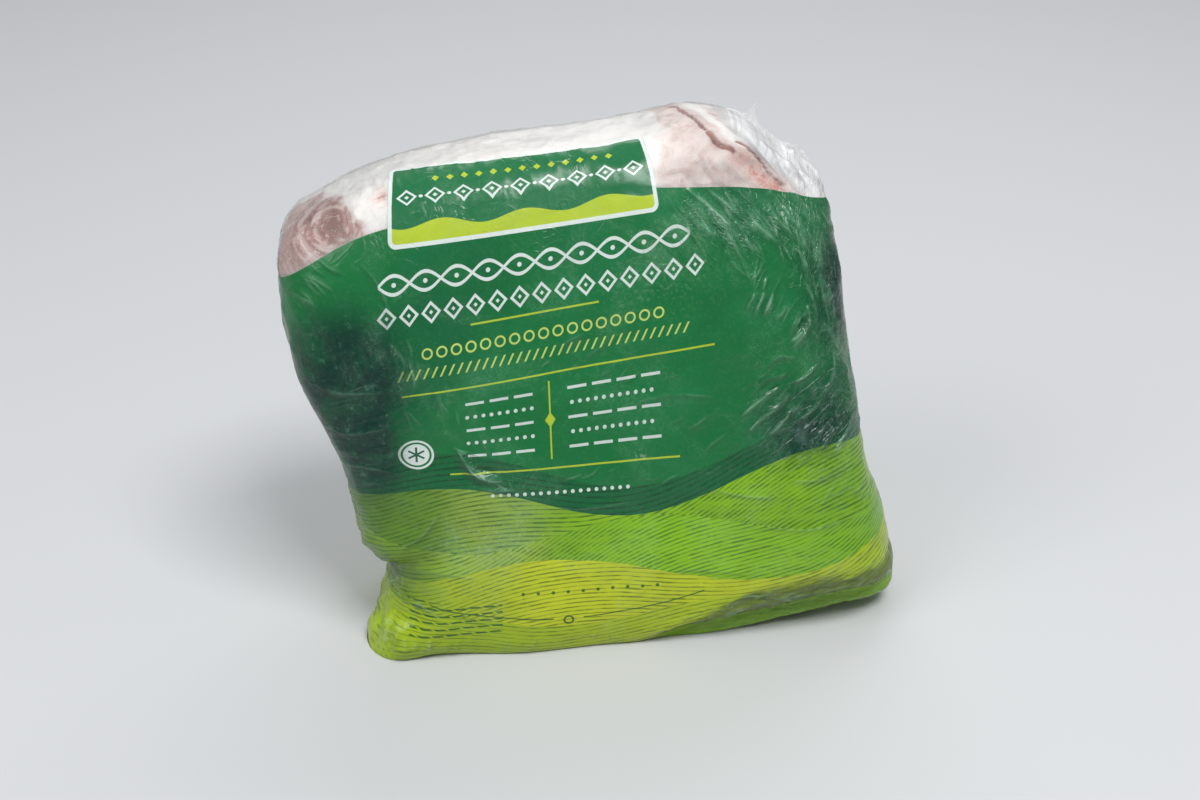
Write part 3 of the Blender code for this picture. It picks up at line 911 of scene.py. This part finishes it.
def meat_material():
    """Frozen raw lamb: pale pink lean with dark edges, white fat, fine rime over both."""
    material = bpy.data.materials.new("frozen_lamb")
    material.use_nodes = True
    tree = material.node_tree
    shader = tree.nodes.get("Principled BSDF")
    lean, seam, swirl, deep = (attribute(tree, key) for key in ("lean", "seam", "swirl", "deep"))
    place = tree.nodes.new("ShaderNodeTexCoord").outputs["Object"]
    fibre = grain(tree, place, 130.0, 5.0, 0.65, 1.5)
    cloud = grain(tree, place, 42.0, 4.0, 0.6, 0.8)
    rime = grain(tree, place, 300.0, 4.0, 0.7)
    red = attribute(tree, "red")
    fat = paint(tree, colour(231, 229, 226), slide(cloud, 0.48, 0.80) * 0.45, colour(214, 206, 200))
    flesh = paint(tree, colour(216, 203, 198), slide(fibre, 0.40, 0.68), colour(200, 178, 171))
    flesh = paint(tree, flesh, slide(cloud, 0.50, 0.72) * 0.7, colour(178, 160, 158))
    flesh = paint(tree, flesh, slide(grain(tree, place, 210.0, 4.0, 0.65, 0.8), 0.52, 0.70) * 0.6, colour(222, 216, 212))
    brown = paint(tree, colour(170, 126, 118), slide(fibre, 0.36, 0.66), colour(130, 88, 80))
    rings = calc("SINE", (swirl + 11.0 * (cloud - 0.5) + 4.0 * (fibre - 0.5)) * (2 * math.pi / 4.6))
    brown = paint(tree, brown, slide(rings, 0.2, 0.95) * slide(fibre, 0.66, 0.42) * slide(swirl, 2.5, 6.0) * 0.60, colour(206, 188, 183))
    brown = paint(tree, brown, slide(swirl, 6.0, 1.0) * 0.55, colour(116, 78, 68))
    brown = paint(tree, brown, slide(swirl, 8.0, 18.0) * 0.70, colour(208, 178, 171))
    pale = grain(tree, vector(tree, swirl * 0.30, grain(tree, place, 30.0, 2.0) * 6.0, 2.0), 1.0, 3.0, 0.6, 0.5)
    brown = paint(tree, brown, slide(pale, 0.50, 0.66) * slide(swirl, 3.0, 8.0) * 0.75, colour(222, 210, 206))
    streak = grain(tree, vector(tree, swirl * 0.55, cloud * 9.0, fibre * 5.0), 1.0, 4.0, 0.65, 0.4)
    brown = paint(tree, brown, slide(streak, 0.52, 0.62) * 0.50, colour(224, 206, 201))
    brown = paint(tree, brown, slide(streak, 0.46, 0.38) * 0.35, colour(124, 74, 64))
    flesh = paint(tree, flesh, deep, brown)
    body = paint(tree, fat, slide(lean + 0.45 * (fibre - 0.5), 0.22, 0.75), flesh)
    blush = grain(tree, place, 260.0, 4.0, 0.65, 1.2)
    body = paint(tree, body, red * 0.35, colour(208, 150, 132))
    body = paint(tree, body, calc("MULTIPLY", slide(blush, 0.46, 0.64), red, clamp=True) * 0.85, colour(190, 96, 72))
    body = paint(tree, body, slide(seam + 0.5 * (fibre - 0.5), 0.20, 0.72) * 0.90, paint(tree, colour(142, 66, 48), slide(fibre, 0.4, 0.6), colour(104, 48, 38)))
    body = paint(tree, body, slide(rime, 0.54, 0.68) * 0.32, colour(226, 226, 226))
    tree.links.new(body, shader.inputs["Base Color"])
    rough = 0.34 + 0.25 * rime
    tree.links.new(rough.socket, shader.inputs["Roughness"])
    bump = tree.nodes.new("ShaderNodeBump")
    bump.inputs["Strength"].default_value = 0.6
    bump.inputs["Distance"].default_value = 0.0006
    tree.links.new((0.6 * fibre + 0.4 * rime).socket, bump.inputs["Height"])
    tree.links.new(bump.outputs["Normal"], shader.inputs["Normal"])
    shader.inputs["Subsurface Weight"].default_value = 0.0
    return material


def tail_material():
    """Clear film gathered into white folds."""
    material = bpy.data.materials.new("gathered_film")
    material.use_nodes = True
    tree = material.node_tree
    shader = tree.nodes.get("Principled BSDF")
    place = tree.nodes.new("ShaderNodeTexCoord").outputs["Object"]
    thin = attribute(tree, "thin")
    wisp = grain(tree, place, 260.0, 4.0, 0.6, 1.0)
    body = paint(tree, colour(226, 227, 226), slide(wisp, 0.35, 0.7) * 0.5, colour(204, 207, 208))
    tree.links.new(body, shader.inputs["Base Color"])
    alpha = calc("SUBTRACT", 0.78 + 0.3 * slide(wisp, 0.35, 0.70), 0.30 * thin, clamp=True)
    tree.links.new(alpha.socket, shader.inputs["Alpha"])
    rough = 0.24 + 0.16 * wisp
    tree.links.new(rough.socket, shader.inputs["Roughness"])
    bump = tree.nodes.new("ShaderNodeBump")
    bump.inputs["Strength"].default_value = 0.6
    bump.inputs["Distance"].default_value = 0.0004
    tree.links.new(wisp.socket, bump.inputs["Height"])
    tree.links.new(bump.outputs["Normal"], shader.inputs["Normal"])
    shader.inputs["IOR"].default_value = 1.49
    return material


# ------------------------------------------------------------------ film skin
def build_film():
    across, depth, up, quads, chart = skin_grid(180, 42, 180)
    points = form(across, depth, up)
    normals = point_normals(points, quads)
    height, sharp, lines = film_relief(points, normals)
    skin = points + normals * np.clip(height, -1.6, 3.2)[:, None] + knob_shift(points)
    skin[:, 2] = np.where(points[:, 2] < 0.05, 0.0, np.maximum(skin[:, 2], 0.0))
    x, y, z = points.T
    facing = -normals[:, 1]
    edge = print_edge(x)
    gathered = ease(across_gather(points), 0.2, 3.4) * ease(x, 48, 58) * (1 - 0.6 * ease(y, 74, 96))
    milk = np.clip(0.08 + 0.14 * ease(y, 46, 62) + 0.84 * gathered + 0.10 * ease(-(z - edge), -2, 0), 0, 0.95)
    fold = fold_line(x) - z
    lifted = ease(x, FOLD_X0 + 2, FOLD_X1 - 6) * ease(facing, -0.5, 0.1)
    right_flank = ease(x, 68, 88) * ease(z, 78, 100) * ease(facing, -0.2, 0.3)
    layers = {
        "print_u": x,
        "print_v": z + 0.85 * (z - 21.0) * blob(points, (-72, 26, 21), (17, 34, 12)),
        "print_t": z + np.clip(y - 38.0, 0, None) * ease(normals[:, 2], 0.25, 0.55),
        "print_face": ease(0.2 - depth, 0.0, 0.1),
        "tuck": lifted * ease(fold + tuck_height(x) + 1.1 * noise(x / 7.0, z / 2.5, y * 0, 83), -0.6, 1.8) * (1 - ease(fold, 2.0, 4.0)),
        "roll": lifted * ease(fold, 2.0, 4.0),
        "edge_v": edge,
        # crests and grooves of the relief, which the material paints with highlights and shade
        "crest": np.clip(sharp * 1.35 - 0.25, 0.0, 1.0),
        "groove": np.clip(-sharp * 1.7 - 0.25, 0.0, 1.0),
        "milk": milk,
        "frost": np.clip(1.3 * blob(points, (-70, 36, 33), (5, 16, 5), 4) + 0.7 * blob(points, (-61, 18, 23), (4, 9, 4), 3) + 0.30 * blob(points, (84, 26, 72), (13, 30, 10))
                         + 0.10 * right_flank + 0.16 * blob(points, (26, 12, 126), (16, 24, 12))
                         + 0.20 * blob(points, (-30, 4, 45), (16, 20, 9)) + 0.9 * blob(points, (20, 6, 70.5), (1.6, 9, 1.6), 3)
                         + 0.03, 0, 1),
        # darkness of film on wet meat, with painted shade at the neck, along the left and right sides and on the back
        "dark": np.clip(1.0 * blob(points, (-73, 26, 98), (21, 36, 21), 4) + 0.75 * blob(points, (76, 20, 76), (17, 30, 13), 3)
                        + 0.55 * blob(points, (-66, 26, 66), (10, 34, 14), 3) + 0.50 * blob(points, (91, 40, 112), (9, 26, 30)) + 0.12 * ease(x, 30, 80)
                        + 0.62 * blob(points, (-62, 22, 27), (12, 28, 9)) + 0.30 * blob(points, (-72, 30, 46), (9, 30, 12))
                        + 0.75 * blob(points, (-70, 26, 76), (13, 36, 14), 4) + 0.40 * blob(points, (86, 30, 118), (11, 28, 20), 3)
                        + 0.20 * ease(-facing, 0.1, 0.6) + 0.10, 0, 1),
        # where frost haze and painted sheen pale the print
        "frost_haze_and_sheen": np.clip(0.65 * blob(points, (-84, 38, 121), (11, 24, 12)) + 0.35 * right_flank
                        + 0.55 * blob(points, (24, 10, 137), (15, 24, 9)) + 0.35 * blob(points, (40, 24, 142), (14, 24, 9))
                        + 0.30 * blob(points, (16, 4, 118), (20, 18, 12)) + 0.55 * blob(points, (-31, 4, 46), (17, 18, 9))
                        + 0.25 * blob(points, (-56, 12, 102), (12, 18, 12)) + 0.35 * blob(points, (8, 2, 66), (16, 18, 10))
                        + 0.40 * blob(points, (-38, 8, 86), (9, 20, 15)) + 0.12, 0, 1),
        "pull_down": blob(points, (54, 30, 140), (26, 40, 16), 3),
        "pull_side": np.clip(ease(x, 62, 82) * ease(z, 84, 100) + 0.7 * ease(-facing, 0.0, 0.4), 0, 1),
        "pull_up": np.clip(blob(points, (70, 25, 76), (24, 40, 22), 3) + 0.5 * blob(points, (-66, 30, 74), (22, 40, 34), 3), 0, 1),
    }
    layers.update(lines)
    # the upper slot holds every face that reaches above the printed field
    reach = (z - edge)[quads].max(axis=1)
    slots = (reach > -1.5).astype(int)
    film = make_mesh("bag_film", skin, quads, [film_material("printed_film", False), film_material("clear_film", True)],
                     chart, layers, slots)
    return film, points, skin


# ------------------------------------------------------------------ meat behind the clear film
SWIRL = np.array((-75.5, 41.0, 142.8))      # middle of the round muscle, upper left
# x, y, z points; half width; darkness
SEAMS = (
    (((36.8, 70.0, 167.3), (39.0, 67.6, 167.8), (41.0, 60.5, 167.9), (42.9, 55.1, 167.8), (45.1, 50.9, 166.7),
      (47.1, 49.1, 165.4), (48.6, 47.0, 163.5)), 0.95, 0.95),
    (((47.1, 49.1, 165.4), (48.6, 47.0, 163.5), (50.8, 46.2, 161.7), (54.0, 46.6, 160.0)), 1.5, 1.0),
    (((55.7, 49.1, 161.8), (58.4, 49.4, 160.3), (61.5, 48.9, 158.0), (64.1, 47.9, 155.3), (66.2, 46.4, 152.5),
      (69.7, 44.9, 149.3), (72.3, 44.5, 147.8)), 0.75, 0.85),
    (((48.6, 61.0, 167.1), (50.3, 59.7, 166.7)), 0.85, 0.75),
    (((53.0, 58.0, 165.7), (56.0, 56.8, 164.3)), 0.85, 0.75),
    (((38.0, 47.0, 165.3), (42.0, 46.4, 164.6), (46.1, 46.0, 163.5)), 0.6, 0.32),
    (((40.3, 39.6, 157.5), (45.0, 41.0, 158.4), (50.2, 43.4, 158.6)), 0.6, 0.26),
    (((-60.0, 43.6, 150.2), (-57.6, 43.6, 151.4)), 1.0, 0.55),
)


def line_distance(points, line):
    line = np.array(line, dtype=float)
    best = np.full(len(points), 1e6)
    for start, end in zip(line[:-1], line[1:]):
        run = end - start
        t = np.clip(((points - start) @ run) / (run @ run), 0, 1)
        best = np.minimum(best, np.linalg.norm(points - start - t[:, None] * run, axis=1))
    return best


def build_meat():
    across, depth, up, quads, chart = skin_grid(170, 70, 110, 1.1, 0.62)
    points = form(across, depth, up)
    normals = point_normals(points, quads)
    x, y, z = points.T
    above = ease(z - print_edge(x), -5.0, -1.2)
    swirl = np.linalg.norm((points - SWIRL) * np.array((1.0, 0.6, 1.0)), axis=1)
    ragged = rough_noise(points, 8.0, 205, 3)
    reach = np.sqrt(((x + 81.0) / 20.0) ** 2 + ((z - 134.0) / 16.5) ** 2 + (np.clip(y - 53.0, 0, None) / 14.0) ** 2)
    lean_left = ease(reach + 0.14 * ragged, 1.12, 0.72)
    lean_right = ease(x + 5.0 * rough_noise(points, 12.0, 210, 2), 26.0, 38.0) * ease(y + 8 * rough_noise(points, 11.0, 215, 2), 84.0, 62.0)
    seam = np.zeros(len(points))
    for line, width, dark in SEAMS:
        distance = line_distance(points, line) * (1.1 + 0.45 * noise(x / 2.2, y / 2.2, z / 2.2, 230))
        seam = np.maximum(seam, dark * np.exp(-(distance / width) ** 2))
    fat_line = np.array(SEAMS[0][0] + SEAMS[1][0][2:]) + np.array((4.0, 3.4, 0.6))
    strip = np.exp(-(line_distance(points, fat_line) / 2.4) ** 2)
    second_strip = np.exp(-(line_distance(points, np.array(SEAMS[2][0]) + np.array((-3.0, -1.6, -2.4))) / 1.9) ** 2)
    strip = np.maximum(strip, 0.8 * second_strip)
    lean_back = ease(rough_noise(points, 26.0, 240, 3), 0.1, 1.0) * ease(y, 66, 80) * 0.55
    lean = np.clip(lean_left + lean_right * (1 - 0.85 * strip) + lean_back, 0, 1)
    deep = ease(x, -46.0, -62.0) * 0.95
    streak = line_distance(points, ((56.5, 45.4, 157.0), (60.5, 44.8, 153.6), (65.1, 43.3, 149.6), (68.5, 42.6, 147.5)))
    red = np.exp(-(streak / 3.2) ** 2) + 0.8 * blob(points, (-59, 44, 150.5), (2.4, 4, 3.5))
    relief = 0.32 * rough_noise(points, 11.0, 220, 3) + 0.30 * ridges(rough_noise(points, 15.0, 224, 2))
    relief = relief - 0.7 * seam + 0.12 * ragged * ease(reach, 1.0, 0.8) + 0.4 * strip
    inwards = points - np.array((6.0, 46.0, 78.0))
    inwards /= np.linalg.norm(inwards, axis=1, keepdims=True)
    body = points + normals * ((soft_relief(points) - 0.50 + np.clip(relief, -0.8, 0.32)) * above)[:, None] \
        - inwards * (5.5 * (1 - above))[:, None] + knob_shift(points)
    layers = {"lean": lean, "seam": seam, "swirl": swirl, "deep": deep, "red": red}
    return make_mesh("lamb_meat", body, quads, [meat_material()], chart, layers)


# ------------------------------------------------------------------ gathered film edge
# path over the form as (across, depth, up) of the cube
RIDGE_PATH = ((0.60, 0.28, 1.0), (0.66, 0.27, 1.0), (0.724, 0.26, 1.0), (0.79, 0.25, 1.0), (0.86, 0.25, 1.0), (0.92, 0.24, 1.0),
              (0.98, 0.24, 1.0), (1.0, 0.24, 0.96), (1.0, 0.22, 0.90), (1.0, 0.17, 0.83), (1.0, 0.08, 0.76))
# distance along the path in mm, height of the ridge in mm: a pointed spike, then a low rim with one more rise
RIDGE_HEIGHTS = ((0.0, 0.1), (3.0, 0.5), (5.4, 0.9), (6.6, 1.9), (7.5, 4.2), (8.2, 6.4), (8.6, 6.9), (9.0, 6.2), (9.7, 3.9),
                 (10.6, 1.9), (12.5, 1.2), (16.0, 0.8), (20.0, 0.6), (23.5, 1.0), (26.5, 1.7), (28.5, 1.5), (31.0, 0.7),
                 (35.0, 0.4), (40.0, 0.1))


def build_tail(form_points, skin_points):
    """The film's gathered edge at the upper right: one thin translucent ridge that rises to a pointed spike."""
    path = np.array(RIDGE_PATH)
    t = np.linspace(0, len(path) - 1, 400)
    whole = np.minimum(t.astype(int), len(path) - 2)
    part = (t - whole)[:, None]
    cube = path[whole] * (1 - part) + path[whole + 1] * part
    line = form(cube[:, 0], cube[:, 1], cube[:, 2])
    for _ in range(60):
        line[1:-1] = 0.25 * line[:-2] + 0.5 * line[1:-1] + 0.25 * line[2:]
    run = np.concatenate([[0.0], np.cumsum(np.linalg.norm(np.diff(line, axis=0), axis=1))])
    count = 190
    along = np.linspace(0.0, min(run[-1], 40.0), count + 1)
    foot = np.stack([np.interp(along, run, line[:, axis]) for axis in range(3)], -1)
    # the film stands off the form there, so the ridge starts on the film
    lift = np.zeros((count + 1, 3))
    for index, spot in enumerate(foot):
        gap = np.linalg.norm(form_points - spot, axis=1)
        near = np.argsort(gap)[:6]
        weight = 1.0 / (gap[near] + 0.3)
        lift[index] = (weight[:, None] * (skin_points[near] - form_points[near])).sum(axis=0) / weight.sum()
    for _ in range(12):
        lift[1:-1] = 0.25 * lift[:-2] + 0.5 * lift[1:-1] + 0.25 * lift[2:]
    foot = foot + lift
    out = foot - np.array((30.0, 50.0, 110.0))
    out[:, 1] *= 0.3
    out /= np.linalg.norm(out, axis=1, keepdims=True)
    forward = np.gradient(foot, axis=0)
    forward /= np.linalg.norm(forward, axis=1, keepdims=True)
    side = np.cross(forward, out)
    side /= np.linalg.norm(side, axis=1, keepdims=True)
    marks, tall = zip(*RIDGE_HEIGHTS)
    high = np.interp(along, marks, tall)
    high = np.convolve(np.pad(high, 2, mode="edge"), np.ones(5) / 5, mode="valid") * (1 + 0.10 * noise(along / 1.3, along * 0, along * 0, 301))
    levels, points, faces, thin = 12, [], [], []
    upright = np.array((0.0, 0.0, 1.0)) * 0.7 + out * 0.3
    for level in range(levels + 1):
        s = level / levels
        climb = (s * high)[:, None] * (out * (1 - 0.6 * s) + upright * 0.6 * s) + (s - 1) * 0.8 * out
        wave = (0.30 * s * noise(along / 1.6, along * 0 + s * 1.3, along * 0, 303) + 0.5 * s * np.sin(along / 1.9)) * np.minimum(high / 3.0, 1.0)
        spine = foot + climb + side * wave[:, None]
        half = (0.55 * (1 - s) ** 1.3 + 0.10)
        for sign in (-1, 1):
            points.extend(spine + side * half * sign)
            thin.extend(s * np.minimum(high / 4.0, 1.0))
    row = count + 1

    def index(level, sign, i):
        return (level * 2 + (0 if sign < 0 else 1)) * row + i

    for i in range(count):
        for level in range(levels):
            faces.append((index(level, 1, i), index(level, 1, i + 1), index(level + 1, 1, i + 1), index(level + 1, 1, i)))
            faces.append((index(level, -1, i + 1), index(level, -1, i), index(level + 1, -1, i), index(level + 1, -1, i + 1)))
        faces.append((index(levels, 1, i), index(levels, 1, i + 1), index(levels, -1, i + 1), index(levels, -1, i)))
        faces.append((index(0, -1, i), index(0, -1, i + 1), index(0, 1, i + 1), index(0, 1, i)))
    for level in range(levels):
        faces.append((index(level, -1, 0), index(level, 1, 0), index(level + 1, 1, 0), index(level + 1, -1, 0)))
        faces.append((index(level, 1, count), index(level, -1, count), index(level + 1, -1, count), index(level + 1, 1, count)))
    return make_mesh("gathered_edge", np.array(points), faces, [tail_material()], None, {"thin": np.array(thin)})


film, film_form, film_skin = build_film()
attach(film, "root")
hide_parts(NODE)

meat = build_meat()
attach(meat, "root")

tail = build_tail(film_form, film_skin)
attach(tail, "root")


# ------------------------------------------------------------------ floor, light, camera
def build_floor():
    reach = 3.0
    mesh = bpy.data.meshes.new("floor")
    mesh.from_pydata([(-reach, -reach, 0), (reach, -reach, 0), (reach, reach, 0), (-reach, reach, 0)], [], [(0, 1, 2, 3)])
    material = bpy.data.materials.new("pale_floor")
    material.use_nodes = True
    shader = material.node_tree.nodes.get("Principled BSDF")
    shader.inputs["Base Color"].default_value = (0.56, 0.57, 0.58, 1.0)
    shader.inputs["Roughness"].default_value = 0.7
    mesh.materials.append(material)
    floor = bpy.data.objects.new("floor", mesh)
    bpy.context.scene.collection.objects.link(floor)


def add_light(name, place, target, size, power, tint=(1.0, 1.0, 1.0)):
    data = bpy.data.lights.new(name, "AREA")
    data.shape = "RECTANGLE"
    data.size, data.size_y = size
    data.energy = power
    data.color = tint
    lamp = bpy.data.objects.new(name, data)
    lamp.location = place
    lamp.rotation_euler = (Vector(target) - Vector(place)).to_track_quat("-Z", "Y").to_euler()
    bpy.context.scene.collection.objects.link(lamp)


build_floor()
add_light("key", (0.30, -0.55, 1.30), (0.0, 0.0, 0.08), (0.62, 0.50), 14.5)
add_light("fill", (-1.05, -0.55, 1.15), (0.0, 0.0, 0.08), (0.9, 0.8), 8.6)
add_light("back", (0.25, 1.0, 1.15), (0.0, 0.0, 0.10), (1.2, 0.6), 7.0)

world = bpy.data.worlds.new("studio")
world.use_nodes = True
background = world.node_tree.nodes.get("Background")
background.inputs["Color"].default_value = (0.93, 0.96, 1.0, 1.0)
background.inputs["Strength"].default_value = 0.31
bpy.context.scene.world = world
bpy.context.scene.view_settings.view_transform = "Standard"

camera_data = bpy.data.cameras.new("camera")
camera_data.lens = 50.0
camera_data.sensor_width = 36.0
camera_data.clip_start = 0.01
camera = bpy.data.objects.new("camera", camera_data)
camera.location = (-0.0549, -0.4978, 0.3499)
camera.rotation_euler = (math.radians(61.0), 0.0, math.radians(-6.5))
bpy.context.scene.collection.objects.link(camera)
bpy.context.scene.camera = camera
